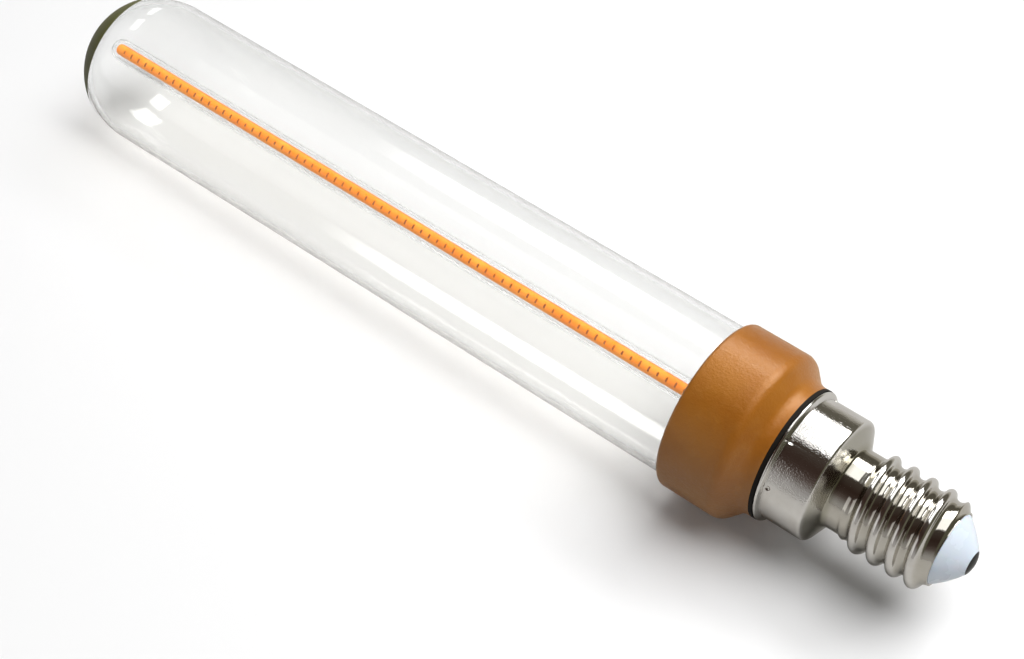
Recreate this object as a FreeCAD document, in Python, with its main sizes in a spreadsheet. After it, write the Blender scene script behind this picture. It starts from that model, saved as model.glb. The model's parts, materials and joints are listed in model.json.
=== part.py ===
# A tubular filament lamp: a long clear glass tube with a domed end, one straight filament
# in a glass sleeve on its axis, a moulded collar and a small rolled screw cap.
#
# Lengths are in millimetres. +X runs along the lamp towards the centre contact and +Z is up.
# The origin is on the long axis, in the plane of the cap's open lip.

import FreeCAD
import Part
import Sketcher
import math
import os

Vector = FreeCAD.Vector
TOLERANCE = 0.001

# Driving dimensions. Each is a plain number in the sheet "Sizes".
SIZES = {
    # Glass tube with its domed end and the neck that goes into the cap
    "glass_radius": 11.4,
    "glass_wall": 0.8,
    "tube_length": 103.2,
    "shoulder_lead": 4.3,
    "shoulder_length": 3.8,
    "glass_neck_radius": 8.1,
    "glass_neck_reach": 3.4,
    # Metal crown cap on the dome
    "crown_half_angle": 64.5,
    "crown_gap": 0.05,
    "crown_thickness": 0.25,
    # Collar between the glass and the metal cap
    "collar_length": 13.14,
    "collar_barrel_length": 9.2,
    "collar_taper_length": 2.5,
    "collar_wall": 1.04,
    "collar_clearance": 0.12,
    "collar_neck_wall": 1.25,
    "collar_neck_clearance": 0.5,
    "collar_cone_setback": 0.6,
    "collar_rim_round": 0.6,
    "collar_corner_round": 2.0,
    "collar_hollow_round": 2.2,
    "gasket_thickness": 0.56,
    "gasket_neck_clearance": 0.3,
    # Metal cap: lip, skirt, shoulder and neck
    "sheet_wall": 0.25,
    "cement_thickness": 0.7,
    "cement_start": 0.6,
    "lip_height": 0.75,
    "lip_width": 0.4,
    "lip_slope": 0.35,
    "lip_sheet": 0.34,
    "skirt_length": 6.75,
    "cap_shoulder_length": 1.6,
    "cap_corner_round": 0.5,
    "cap_foot_round": 0.7,
    "neck_length": 1.25,
    "neck_step": 0.1,
    "dimple_radius": 0.5,
    "dimple_depth": 0.2,
    "dimple_pair_count": 3,
    "dimple_pair_spread": 45.0,
    "dimple_from_lip": 1.25,
    "dimple_bearing": 115.5,
    # Rolled screw thread of the small screw cap
    "thread_pitch": 2.822,
    "thread_crest_radius": 6.945,
    "thread_root_radius": 5.95,
    "thread_crest_share": 0.42,
    "thread_length": 14.25,
    "thread_first_crest": 2.4,
    "thread_crest_bearing": 33.0,
    "thread_run_in_start": 0.9,
    "thread_run_in": 1.5,
    "thread_run_out": 1.45,
    "thread_end_radius": 5.45,
    "thread_sectors": 24,
    # Insulator cone and centre contact
    "insulator_gap": 0.05,
    "insulator_reach": 2.0,
    "insulator_cone_length": 3.3,
    "insulator_bulge_radius": 16.0,
    "insulator_wall": 1.5,
    "insulator_inner_length": 1.9,
    "contact_radius": 1.75,
    "contact_dome_height": 0.4,
    "shank_radius": 0.9,
    "shank_bore_radius": 0.4,
    "shank_length": 2.2,
    "solder_bead_length": 0.4,
    # Glass stem: flare, tube, press and exhaust tube
    "stem_radius": 3.6,
    "stem_wall": 0.7,
    "stem_tube_length": 6.2,
    "flare_length": 2.2,
    "flare_foot_radius": 6.2,
    "flare_setback": 0.4,
    "flare_rim_thickness": 0.8,
    "press_length": 4.0,
    "press_width": 7.0,
    "press_thickness": 4.0,
    "exhaust_radius": 1.25,
    "exhaust_bore_radius": 0.65,
    "exhaust_reach": 2.8,
    # Glass sleeve round the filament
    "sleeve_radius": 1.8,
    "sleeve_wall": 0.5,
    "sleeve_tip_gap": 0.3,
    # Filament
    "filament_radius": 0.9,
    "filament_tip_gap": 0.3,
    "filament_roll": 33.0,
    "filament_base_gap": 3.0,
    "strip_width": 1.0,
    "strip_thickness": 0.2,
    "strip_drop": 0.25,
    "strip_inset": 0.9,
    "chip_first_offset": 2.6,
    "chip_pitch": 1.5,
    "chip_end_gap": 0.5,
    "chip_width": 0.28,
    "chip_span": 0.84,
    "chip_height": 0.16,
    "tab_width": 0.8,
    "tab_thickness": 0.15,
    "tab_overlap": 2.6,
    "tab_foot_length": 1.6,
    "tip_tab_length": 1.0,
    "tab_clearance": 0.03,
    # Wires
    "lead_wire_radius": 0.2,
    "return_wire_radius": 0.15,
    "wire_seal_gap": 0.02,
    "wire_spread": 2.1,
    "wire_bend": 0.8,
    "wire_landing": 1.2,
    "side_lead_y": 3.4,
    "side_solder_radius": 0.55,
    # Driver board, its insulating liner and what is on it
    "liner_wall": 0.2,
    "liner_gap": 0.05,
    "board_gap": 1.6,
    "board_length": 12.0,
    "board_side_gap": 0.35,
    "board_thickness": 1.0,
    "capacitor_radius": 2.0,
    "capacitor_length": 6.5,
    "capacitor_offset": 1.6,
    "driver_chip_gap": 0.4,
    "driver_chip_length": 3.0,
    "driver_chip_width": 3.9,
    "driver_chip_height": 1.4,
    "leg_count": 3,
    "leg_width": 0.4,
    "leg_reach": 0.7,
    "leg_thickness": 0.2,
    "bridge_offset": 1.2,
    "bridge_length": 3.8,
    "bridge_width": 4.6,
    "bridge_height": 1.5,
    "resistor_offset": 1.8,
    "resistor_edge_gap": 0.8,
    "resistor_length": 1.6,
    "resistor_width": 0.8,
    "resistor_height": 0.45,
    "resistor_pitch": 2.2,
    "resistor_count": 4,
    "fuse_gap": 1.2,
    "fuse_radius": 0.85,
    "fuse_length": 4.0,
    "fuse_stub": 0.6,
    "seat_gap": 0.02,
}

# Places and fits worked out from the sizes. Each is a formula in the sheet "Places".
PLACES = {
    "collar_back_x": "-Sizes.gasket_thickness",
    "collar_rim_x": "collar_back_x - Sizes.collar_length",
    "taper_start_x": "collar_rim_x + Sizes.collar_barrel_length",
    "taper_end_x": "taper_start_x + Sizes.collar_taper_length",
    "collar_bore": "Sizes.glass_radius + Sizes.collar_clearance",
    "collar_radius": "collar_bore + Sizes.collar_wall",
    "collar_neck_bore": "Sizes.glass_neck_radius + Sizes.collar_neck_clearance",
    "collar_neck_radius": "collar_neck_bore + Sizes.collar_neck_wall",
    "bore_cone_start_x": "taper_start_x - Sizes.collar_cone_setback",
    "bore_cone_end_x": "taper_end_x - Sizes.collar_cone_setback",
    "gasket_bore": "Sizes.glass_neck_radius + Sizes.gasket_neck_clearance",
    "dome_centre_x": "collar_rim_x - Sizes.tube_length",
    "dome_outer_x": "dome_centre_x - Sizes.glass_radius",
    "glass_bore": "Sizes.glass_radius - Sizes.glass_wall",
    "dome_inner_x": "dome_centre_x - glass_bore",
    "shoulder_start_x": "taper_start_x - Sizes.shoulder_lead",
    "shoulder_end_x": "shoulder_start_x + Sizes.shoulder_length",
    "neck_glass_bore": "Sizes.glass_neck_radius - Sizes.glass_wall",
    "crown_inner": "Sizes.glass_radius + Sizes.crown_gap",
    "crown_outer": "crown_inner + Sizes.crown_thickness",
    "crown_inner_x": "dome_centre_x - crown_inner",
    "crown_tip_x": "dome_centre_x - crown_outer",
    "crown_edge_in_x": "dome_centre_x - crown_inner * cos(Sizes.crown_half_angle)",
    "crown_edge_in_r": "crown_inner * sin(Sizes.crown_half_angle)",
    "crown_edge_out_x": "dome_centre_x - crown_outer * cos(Sizes.crown_half_angle)",
    "crown_edge_out_r": "crown_outer * sin(Sizes.crown_half_angle)",
    "skirt_bore": "Sizes.glass_neck_radius + Sizes.cement_thickness",
    "skirt_radius": "skirt_bore + Sizes.sheet_wall",
    "lip_radius": "skirt_radius + Sizes.lip_height",
    "lip_bore": "lip_radius - Sizes.lip_sheet",
    "lip_end_x": "Sizes.lip_width + Sizes.lip_slope",
    "dimple_centre_radius": "skirt_radius + Sizes.dimple_radius - Sizes.dimple_depth",
    "foot_x": "Sizes.skirt_length + Sizes.cap_shoulder_length",
    "neck_radius": "Sizes.thread_root_radius - Sizes.neck_step",
    "neck_bore": "neck_radius - Sizes.sheet_wall",
    "thread_bore": "Sizes.thread_root_radius - Sizes.sheet_wall",
    "shoulder_slope": "atan((skirt_radius - neck_radius) / Sizes.cap_shoulder_length)",
    "bend_shift": "Sizes.sheet_wall * tan(shoulder_slope / 2)",
    "inner_corner_x": "Sizes.skirt_length - bend_shift",
    "inner_foot_x": "foot_x - bend_shift",
    "neck_end_x": "foot_x + Sizes.neck_length",
    "thread_rise_x": "neck_end_x + Sizes.thread_run_in_start",
    "thread_end_x": "neck_end_x + Sizes.thread_length",
    "thread_end_bore": "Sizes.thread_end_radius - Sizes.sheet_wall",
    "insulator_radius": "thread_end_bore - Sizes.insulator_gap",
    "insulator_back_x": "thread_end_x - Sizes.insulator_reach",
    "insulator_face_x": "thread_end_x + Sizes.insulator_gap",
    "insulator_nose_x": "insulator_face_x + Sizes.insulator_cone_length",
    "insulator_cup_radius": "insulator_radius - Sizes.insulator_wall",
    "insulator_cup_x": "insulator_back_x + Sizes.insulator_inner_length",
    "insulator_bore": "Sizes.shank_radius + Sizes.seat_gap",
    "insulator_funnel_x": "insulator_cup_x + insulator_cup_radius - insulator_bore",
    "contact_tip_x": "insulator_nose_x + Sizes.contact_dome_height",
    "shank_back_x": "insulator_nose_x - Sizes.shank_length",
    "bead_back_x": "shank_back_x - Sizes.solder_bead_length",
    "stem_bore": "Sizes.stem_radius - Sizes.stem_wall",
    "flare_outer_x": "Sizes.glass_neck_reach + Sizes.flare_rim_thickness",
    "flare_start_x": "Sizes.glass_neck_reach - Sizes.flare_length",
    "press_front_x": "flare_start_x - Sizes.stem_tube_length",
    "press_back_x": "press_front_x - Sizes.press_length",
    "exhaust_tip_x": "flare_outer_x + Sizes.exhaust_reach",
    "sleeve_tip_x": "dome_inner_x + Sizes.sleeve_tip_gap",
    "sleeve_bore": "Sizes.sleeve_radius - Sizes.sleeve_wall",
    "sleeve_centre_x": "sleeve_tip_x + Sizes.sleeve_radius",
    "sleeve_inner_tip_x": "sleeve_tip_x + Sizes.sleeve_wall",
    "filament_tip_x": "sleeve_inner_tip_x + Sizes.filament_tip_gap",
    "filament_centre_x": "filament_tip_x + Sizes.filament_radius",
    "filament_base_x": "press_back_x - Sizes.filament_base_gap",
    "strip_start_x": "filament_tip_x + Sizes.strip_inset",
    "chip_first_x": "filament_tip_x + Sizes.chip_first_offset",
    "chip_last_limit_x": "filament_base_x - Sizes.chip_end_gap",
    "chip_count": "floor((chip_last_limit_x - chip_first_x) / Sizes.chip_pitch) + 1",
    "return_offset": "Sizes.filament_radius + Sizes.return_wire_radius + Sizes.tab_clearance",
    "contact_dome_radius": "(Sizes.contact_radius^2 + Sizes.contact_dome_height^2)"
                           " / (2 * Sizes.contact_dome_height)",
    "shank_bore_end_x": "insulator_nose_x - Sizes.sheet_wall",
    "flare_bore_start_x": "flare_start_x + Sizes.flare_setback",
    "press_middle_x": "(press_back_x + press_front_x) / 2",
    "exhaust_bore_end_x": "exhaust_tip_x - Sizes.exhaust_radius + Sizes.exhaust_bore_radius",
    "liner_radius": "neck_bore - Sizes.liner_gap",
    "liner_bore": "liner_radius - Sizes.liner_wall",
    "liner_end_x": "insulator_back_x - Sizes.seat_gap",
    "board_x": "exhaust_tip_x + Sizes.board_gap",
    "board_end_x": "board_x + Sizes.board_length",
    "board_half_width": "liner_bore - Sizes.board_side_gap",
    "board_top_z": "Sizes.board_thickness / 2",
    "capacitor_x": "board_x + Sizes.capacitor_offset",
    "capacitor_z": "board_top_z + Sizes.capacitor_radius + Sizes.seat_gap",
    "driver_chip_x": "capacitor_x + Sizes.capacitor_length + Sizes.driver_chip_gap",
    "bridge_x": "board_x + Sizes.bridge_offset",
    "resistor_x": "board_x + Sizes.resistor_offset",
    "resistor_y": "Sizes.resistor_edge_gap - board_half_width",
    "fuse_x": "bridge_x + Sizes.bridge_length + Sizes.fuse_gap",
    "fuse_end_x": "fuse_x + Sizes.fuse_length",
    "fuse_z": "-board_top_z - Sizes.fuse_radius - Sizes.seat_gap",
    "lead_hole_radius": "Sizes.lead_wire_radius + Sizes.wire_seal_gap",
    "return_hole_radius": "Sizes.return_wire_radius + Sizes.wire_seal_gap",
    "lead_top_z": "board_top_z + Sizes.lead_wire_radius + Sizes.seat_gap",
    "return_top_z": "board_top_z + Sizes.return_wire_radius + Sizes.seat_gap",
    "side_lead_z": "-lead_top_z",
    "side_lead_wall": "skirt_bore - Sizes.lead_wire_radius - Sizes.seat_gap",
    "side_lead_end_x": "(flare_outer_x + Sizes.skirt_length) / 2",
    "side_lead_rise_x": "(side_lead_end_x + inner_corner_x) / 2",
    "side_lead_outer_y": "sqrt(side_lead_wall^2 - side_lead_z^2)",
}


doc = FreeCAD.newDocument("TubularLamp")


def new_sheet(name, cells, lead):
    """A sheet with a title in column A and an aliased cell in column B for each entry."""
    sheet = doc.addObject("Spreadsheet::Sheet", name)
    for row, (alias, content) in enumerate(cells.items(), start=1):
        sheet.set("A%d" % row, alias)
        sheet.set("B%d" % row, lead + str(content))
        sheet.setAlias("B%d" % row, alias)
    doc.recompute()
    return sheet


sizes = new_sheet("Sizes", SIZES, "")
places = new_sheet("Places", PLACES, "=")


def cell(name):
    """The expression that names a size or a place."""
    return ("Sizes." if name in SIZES else "Places.") + name


def value(name):
    """The present number of a size or a place."""
    sheet = sizes if name in SIZES else places
    number = sheet.get(name)
    return float(getattr(number, "Value", number))


def bind(thing, **formulas):
    """Tie properties of an object to formulas. A double underscore stands for a dot."""
    for name, formula in formulas.items():
        thing.setExpression(name.replace("__", "."), formula)


nodes = []


def node(thing, label):
    """Make an object one of the lamp's pieces: its label names its file."""
    thing.Label = label
    nodes.append(thing)
    return thing


# Turned pieces: a closed outline of corners (x, radius), turned about the long axis.
# A corner's number is the name of a size or place, AXIS for the long axis or ORIGIN for x = 0.
# A third entry makes the next edge an arc: the radius's name, and the side to which it bulges.

AXIS = "axis"
ORIGIN = "origin"
OUTWARD = "outward"
INWARD = "inward"


def coordinate(name):
    return 0.0 if name in (AXIS, ORIGIN) else value(name)


def arc_middle(start, end, radius, side):
    """The point half way along an arc that bulges to one side of its chord."""
    chord = end - start
    half = chord.Length / 2
    sagitta = radius - math.sqrt(max(radius * radius - half * half, 0.0))
    across = Vector(-chord.y, chord.x, 0).normalize()
    if side == INWARD:
        across = -across
    return (start + end) * 0.5 + across * sagitta


def outline(body, corners):
    """A fully constrained sketch of the closed outline, on the upright plane of the axis."""
    sketch = body.newObject("Sketcher::SketchObject", body.Name + "Outline")
    plane = [f for f in body.Origin.OriginFeatures if f.Role == "XZ_Plane"][0]
    sketch.AttachmentSupport = (plane, [""])
    sketch.MapMode = "FlatFace"
    x_axis, y_axis = -1, -2
    origin = (x_axis, 1)
    points = [Vector(coordinate(c[0]), coordinate(c[1]), 0) for c in corners]
    ends = []
    for index, corner in enumerate(corners):
        start = points[index]
        end = points[(index + 1) % len(points)]
        if len(corner) == 2:
            edge = sketch.addGeometry(Part.LineSegment(start, end), False)
        else:
            middle = arc_middle(start, end, value(corner[2]), corner[3])
            edge = sketch.addGeometry(Part.Arc(start, middle, end), False)
        forward = (sketch.getPoint(edge, 1) - start).Length < (sketch.getPoint(edge, 2) - start).Length
        ends.append((edge, 1 if forward else 2, 2 if forward else 1))
        if len(corner) > 2:
            number = sketch.addConstraint(Sketcher.Constraint("Radius", edge, value(corner[2])))
            sketch.setExpression("Constraints[%d]" % number, cell(corner[2]))
    for index, corner in enumerate(corners):
        edge, first, _ = ends[index]
        previous, _, last = ends[index - 1]
        sketch.addConstraint(Sketcher.Constraint("Coincident", previous, last, edge, first))
        for name, kind, axis in ((corner[0], "DistanceX", y_axis), (corner[1], "DistanceY", x_axis)):
            if name in (AXIS, ORIGIN):
                sketch.addConstraint(Sketcher.Constraint("PointOnObject", edge, first, axis))
                continue
            rule = Sketcher.Constraint(kind, *origin, edge, first, coordinate(name))
            number = sketch.addConstraint(rule)
            sketch.setExpression("Constraints[%d]" % number, cell(name))
    return sketch


def turned(name, corners):
    """A body turned from an outline."""
    body = doc.addObject("PartDesign::Body", name)
    sketch = outline(body, corners)
    turn = body.newObject("PartDesign::Revolution", name + "Turn")
    turn.Profile = sketch
    turn.ReferenceAxis = (sketch, ["H_Axis"])
    turn.Angle = 360
    sketch.Visibility = False
    doc.recompute()
    return body


def rounded(body, corner, radius):
    """Round the circular edge at a corner (x, radius) of a turned body."""
    base = body.Tip
    x, r = coordinate(corner[0]), coordinate(corner[1])
    names = []
    for number, edge in enumerate(base.Shape.Edges, start=1):
        curve = edge.Curve
        if isinstance(curve, Part.Circle):
            if abs(curve.Center.x - x) < TOLERANCE and abs(curve.Radius - r) < TOLERANCE:
                names.append("Edge%d" % number)
    fillet = body.newObject("PartDesign::Fillet", body.Name + "Round")
    fillet.Base = (base, names)
    bind(fillet, Radius=cell(radius))
    doc.recompute()


# Straight pieces: boxes and cylinders along X


def block(name, x, y, z, length, width, height):
    """A box from its low corner and its three sizes, each a formula."""
    box = doc.addObject("Part::Box", name)
    bind(box, Length=length, Width=width, Height=height)
    bind(box, Placement__Base__x=x, Placement__Base__y=y, Placement__Base__z=z)
    return box


def rod(name, x, length, radius, y="0", z="0"):
    """A cylinder along +X from its start, each number a formula."""
    cylinder = doc.addObject("Part::Cylinder", name)
    bind(cylinder, Radius=radius, Height=length)
    cylinder.Placement = FreeCAD.Placement(Vector(0, 0, 0), FreeCAD.Rotation(Vector(0, 1, 0), 90))
    bind(cylinder, Placement__Base__x=x, Placement__Base__y=y, Placement__Base__z=z)
    return cylinder


def fused(name, pieces):
    joined = doc.addObject("Part::MultiFuse", name)
    joined.Shapes = pieces
    joined.Refine = True
    return joined


def less(name, base, tool):
    cut = doc.addObject("Part::Cut", name)
    cut.Base = base
    cut.Tool = tool
    return cut


def given(name, shape):
    """A feature whose shape the code works out from the sheets."""
    feature = doc.addObject("Part::Feature", name)
    feature.Shape = shape
    return feature


ROLL = FreeCAD.Placement(Vector(0, 0, 0), FreeCAD.Rotation(Vector(1, 0, 0), value("filament_roll")))


def rolled(point):
    """A place given with the filament's chips straight up, turned to where they face."""
    return ROLL.multVec(point)


BEND_SHARE_OF_RUN = 0.45


def bent_rod(points, radius):
    """A round rod along straight runs joined by tangent arcs."""
    edges = []
    at = points[0]
    for before, corner, after in zip(points, points[1:], points[2:]):
        into = (corner - before).normalize()
        out = (after - corner).normalize()
        turn = into.getAngle(out)
        room = min((corner - before).Length, (after - corner).Length) * BEND_SHARE_OF_RUN
        setback = min(value("wire_bend") * math.tan(turn / 2), room)
        arc_start = corner - into * setback
        arc_end = corner + out * setback
        bend = setback / math.tan(turn / 2)
        inward = (out - into).normalize()
        middle = corner + inward * (bend / math.cos(turn / 2) - bend)
        edges.append(Part.LineSegment(at, arc_start).toShape())
        edges.append(Part.Arc(arc_start, middle, arc_end).toShape())
        at = arc_end
    edges.append(Part.LineSegment(at, points[-1]).toShape())
    heading = (points[1] - points[0]).normalize()
    ring = Part.Wire([Part.makeCircle(radius, points[0], heading)])
    return Part.Wire(edges).makePipeShell([ring], True, True)


# Glass envelope: dome, tube, shoulder inside the collar and neck inside the cap
node(turned("Envelope", [
    ("dome_outer_x", AXIS, "glass_radius", OUTWARD),
    ("dome_centre_x", "glass_radius"),
    ("shoulder_start_x", "glass_radius"),
    ("shoulder_end_x", "glass_neck_radius"),
    ("glass_neck_reach", "glass_neck_radius"),
    ("glass_neck_reach", "neck_glass_bore"),
    ("shoulder_end_x", "neck_glass_bore"),
    ("shoulder_start_x", "glass_bore"),
    ("dome_centre_x", "glass_bore", "glass_bore", INWARD),
    ("dome_inner_x", AXIS),
]), "glass_envelope")

# Crown cap: a thin pressed metal shell, held on the dome by a film of adhesive in its gap
node(turned("Crown", [
    ("crown_tip_x", AXIS, "crown_outer", OUTWARD),
    ("crown_edge_out_x", "crown_edge_out_r"),
    ("crown_edge_in_x", "crown_edge_in_r", "crown_inner", INWARD),
    ("crown_inner_x", AXIS),
]), "crown_cap")

# Collar: a moulded barrel with a rounded corner and a hollow taper down to the gasket
collar = turned("Collar", [
    ("collar_rim_x", "collar_bore"),
    ("collar_rim_x", "collar_radius"),
    ("taper_start_x", "collar_radius"),
    ("taper_end_x", "collar_neck_radius"),
    ("collar_back_x", "collar_neck_radius"),
    ("collar_back_x", "collar_neck_bore"),
    ("bore_cone_end_x", "collar_neck_bore"),
    ("bore_cone_start_x", "collar_bore"),
])
rounded(collar, ("collar_rim_x", "collar_radius"), "collar_rim_round")
rounded(collar, ("taper_start_x", "collar_radius"), "collar_corner_round")
rounded(collar, ("taper_end_x", "collar_neck_radius"), "collar_hollow_round")
node(collar, "collar")

node(turned("Gasket", [
    ("collar_back_x", "gasket_bore"),
    ("collar_back_x", "collar_neck_radius"),
    (ORIGIN, "collar_neck_radius"),
    (ORIGIN, "gasket_bore"),
]), "gasket_ring")

node(turned("Cement", [
    ("cement_start", "glass_neck_radius"),
    ("cement_start", "skirt_bore"),
    ("glass_neck_reach", "skirt_bore"),
    ("glass_neck_reach", "glass_neck_radius"),
]), "capping_cement")

# Metal cap: flared lip, skirt, rounded shoulder and neck, with pairs of punched dimples by the lip
cap = turned("Cap", [
    (ORIGIN, "lip_radius"),
    ("lip_width", "lip_radius"),
    ("lip_end_x", "skirt_radius"),
    ("skirt_length", "skirt_radius"),
    ("foot_x", "neck_radius"),
    ("neck_end_x", "neck_radius"),
    ("neck_end_x", "neck_bore"),
    ("inner_foot_x", "neck_bore"),
    ("inner_corner_x", "skirt_bore"),
    ("lip_width", "skirt_bore"),
    (ORIGIN, "lip_bore"),
])
rounded(cap, ("skirt_length", "skirt_radius"), "cap_corner_round")
rounded(cap, ("foot_x", "neck_radius"), "cap_foot_round")
pair = []
for bearing in ("Sizes.dimple_bearing", "(Sizes.dimple_bearing + Sizes.dimple_pair_spread)"):
    dimple = cap.newObject("PartDesign::SubtractiveSphere", "Dimple")
    bind(dimple, Radius=cell("dimple_radius"))
    bind(dimple, Placement__Base__x=cell("dimple_from_lip"))
    bind(dimple, Placement__Base__y="Places.dimple_centre_radius * cos(%s)" % bearing)
    bind(dimple, Placement__Base__z="Places.dimple_centre_radius * sin(%s)" % bearing)
    doc.recompute()
    pair.append(dimple)
dimples = cap.newObject("PartDesign::PolarPattern", "Dimples")
dimples.Originals = pair
dimples.Axis = ([f for f in cap.Origin.OriginFeatures if f.Role == "X_Axis"][0], [""])
dimples.Angle = 360
bind(dimples, Occurrences=cell("dimple_pair_count"))
cap.Tip = dimples
doc.recompute()


# Rolled thread. Along the axis the outside is a wave of crest arcs and root arcs, tangent to
# each other, which climbs one pitch in each turn. It rises from the neck and closes to the end.


def ease(share):
    """A smooth step from 0 to 1."""
    share = min(1.0, max(0.0, share))
    return share * share * (3 - 2 * share)


def wave_radius(along):
    """The outside radius at a distance along the axis from the nearest crest."""
    half = value("thread_pitch") / 2
    crest = value("thread_crest_radius")
    root = value("thread_root_radius")
    depth = crest - root
    arcs = (half * half + depth * depth) / (2 * depth)
    crest_arc = value("thread_crest_share") * arcs
    root_arc = arcs - crest_arc
    if along < half * crest_arc / arcs:
        return crest - crest_arc + math.sqrt(crest_arc ** 2 - along ** 2)
    return root + root_arc - math.sqrt(root_arc ** 2 - (half - along) ** 2)


def thread_radius(x, turn):
    """The outside radius at a place along the axis and a share of a turn from +Y towards +Z."""
    pitch = value("thread_pitch")
    bearing = value("thread_crest_bearing") / 360
    crests = (x - value("neck_end_x") - value("thread_first_crest")) / pitch - (turn - bearing)
    root = value("thread_root_radius")
    end = value("thread_end_radius")
    radius = wave_radius(abs(crests - round(crests)) * pitch)
    rising = ease((x - value("thread_rise_x")) / value("thread_run_in"))
    radius = root + (radius - root) * rising
    closing = ease(1 - (value("thread_end_x") - x) / value("thread_run_out"))
    return radius + (end - radius) * closing


WAVE_POINTS_PER_PITCH = 10


def meridian(turn):
    """The thread's outline along the lamp at one share of a turn."""
    start = value("neck_end_x")
    length = value("thread_length")
    count = math.ceil(length / value("thread_pitch") * WAVE_POINTS_PER_PITCH)
    angle = 2 * math.pi * turn
    points = []
    for step in range(count + 1):
        x = start + length * step / count
        radius = thread_radius(x, turn)
        points.append(Vector(x, radius * math.cos(angle), radius * math.sin(angle)))
    curve = Part.BSplineCurve()
    curve.interpolate(points)
    return curve.toShape()


def lies_at(edge, x):
    """Whether an edge lies in the plane across the axis at x."""
    box = edge.BoundBox
    return abs(box.XMin - x) < TOLERANCE and abs(box.XMax - x) < TOLERANCE


def rolled_thread():
    """The threaded tube: ruled sectors between meridians, closed at both ends and bored."""
    sectors = int(value("thread_sectors"))
    lines = [meridian(number / sectors) for number in range(sectors)]
    skins = [Part.makeRuledSurface(line, lines[number - 1]) for number, line in enumerate(lines)]
    ends = []
    for x in (value("neck_end_x"), value("thread_end_x")):
        rim = [edge for skin in skins for edge in skin.Edges if lies_at(edge, x)]
        ends.append(Part.Face(Part.Wire(Part.__sortEdges__(rim))))
    shell = Part.Shell(skins + ends)
    shell.sewShape()
    solid = Part.Solid(shell)
    if solid.Volume < 0:
        solid.reverse()
    start = Vector(value("neck_end_x"), 0, 0)
    along = Vector(1, 0, 0)
    straight = value("thread_length") - value("thread_run_out")
    bore = Part.makeCylinder(value("thread_bore"), straight, start, along)
    funnel = Part.makeCone(value("thread_bore"), value("thread_end_bore"), value("thread_run_out"),
                           start + along * straight, along)
    return solid.cut(bore.fuse(funnel))


thread = given("Thread", rolled_thread())
node(fused("ScrewShell", [cap, thread]), "screw_shell")

# Insulator: a pale cone that closes the shell's end, hollow behind
node(turned("Insulator", [
    ("insulator_back_x", "insulator_cup_radius"),
    ("insulator_back_x", "insulator_radius"),
    ("insulator_face_x", "insulator_radius", "insulator_bulge_radius", OUTWARD),
    ("insulator_nose_x", "contact_radius"),
    ("insulator_nose_x", "insulator_bore"),
    ("insulator_funnel_x", "insulator_bore"),
    ("insulator_cup_x", "insulator_cup_radius"),
]), "insulator")

node(turned("Contact", [
    ("shank_back_x", "shank_bore_radius"),
    ("shank_back_x", "shank_radius"),
    ("insulator_nose_x", "shank_radius"),
    ("insulator_nose_x", "contact_radius", "contact_dome_radius", OUTWARD),
    ("contact_tip_x", AXIS),
    ("shank_bore_end_x", AXIS),
    ("shank_bore_end_x", "shank_bore_radius"),
]), "centre_contact")

node(turned("Bead", [
    ("bead_back_x", "lead_wire_radius"),
    ("shank_back_x", "shank_radius"),
    ("shank_back_x", "lead_wire_radius"),
]), "contact_solder")

# Glass sleeve: a thin tube with a rounded closed tip, which stands on the stem's press
node(turned("Sleeve", [
    ("sleeve_tip_x", AXIS, "sleeve_radius", OUTWARD),
    ("sleeve_centre_x", "sleeve_radius"),
    ("press_back_x", "sleeve_radius"),
    ("press_back_x", "sleeve_bore"),
    ("sleeve_centre_x", "sleeve_bore", "sleeve_bore", INWARD),
    ("sleeve_inner_tip_x", AXIS),
]), "filament_sleeve")


# Filament: a strip with a row of light chips in a rod of phosphor gel, and a tab at each end.
# Its parts are laid out with the chips upward, then rolled about the axis.


def rolled_box(x, z, length, width, height):
    """A box centred across the filament, from its start and its underside."""
    box = Part.makeBox(length, width, height, Vector(x, -width / 2, z))
    box.Placement = ROLL.multiply(box.Placement)
    return box


def joined(shapes):
    """One solid from boxes that touch."""
    return shapes[0].multiFuse(shapes[1:]).removeSplitter()


def light_chips():
    top = value("strip_thickness") - value("strip_drop")
    first = value("chip_first_x") - value("chip_width") / 2
    starts = [first + number * value("chip_pitch") for number in range(round(value("chip_count")))]
    size = (value("chip_width"), value("chip_span"), value("chip_height"))
    return Part.makeCompound([rolled_box(start, top, *size) for start in starts])


def tip_tab():
    """A leg down to the return wire and a foot under the strip."""
    thick = value("tab_thickness")
    under = -value("strip_drop") - thick
    low = value("return_wire_radius") - value("return_offset")
    start = value("strip_start_x") - thick
    wide = value("tab_width")
    leg = rolled_box(start, low, thick, wide, -value("strip_drop") - low)
    foot = rolled_box(start, under, value("tip_tab_length"), wide, thick)
    return joined([leg, foot])


def base_tab():
    """A tongue on the gel's end, a leg past the strip and a foot for the lead-in wire."""
    thick = value("tab_thickness")
    width = value("tab_width")
    over = value("filament_radius") + value("tab_clearance")
    end = value("filament_base_x")
    tongue = rolled_box(end - value("tab_overlap"), over, value("tab_overlap") + thick, width, thick)
    leg = rolled_box(end, -value("strip_drop"), thick, width, over + value("strip_drop") + thick)
    foot = rolled_box(end, -value("strip_drop"), value("tab_foot_length"), width, thick)
    return joined([tongue, leg, foot])


strip_length = value("filament_base_x") - value("strip_start_x")
strip_size = (strip_length, value("strip_width"), value("strip_thickness"))
strip = given("Strip", rolled_box(value("strip_start_x"), -value("strip_drop"), *strip_size))
node(strip, "filament_substrate")
node(given("Chips", light_chips()), "led_chips")
tip = node(given("TipTab", tip_tab()), "filament_tip_tab")
node(given("BaseTab", base_tab()), "filament_base_tab")

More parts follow.
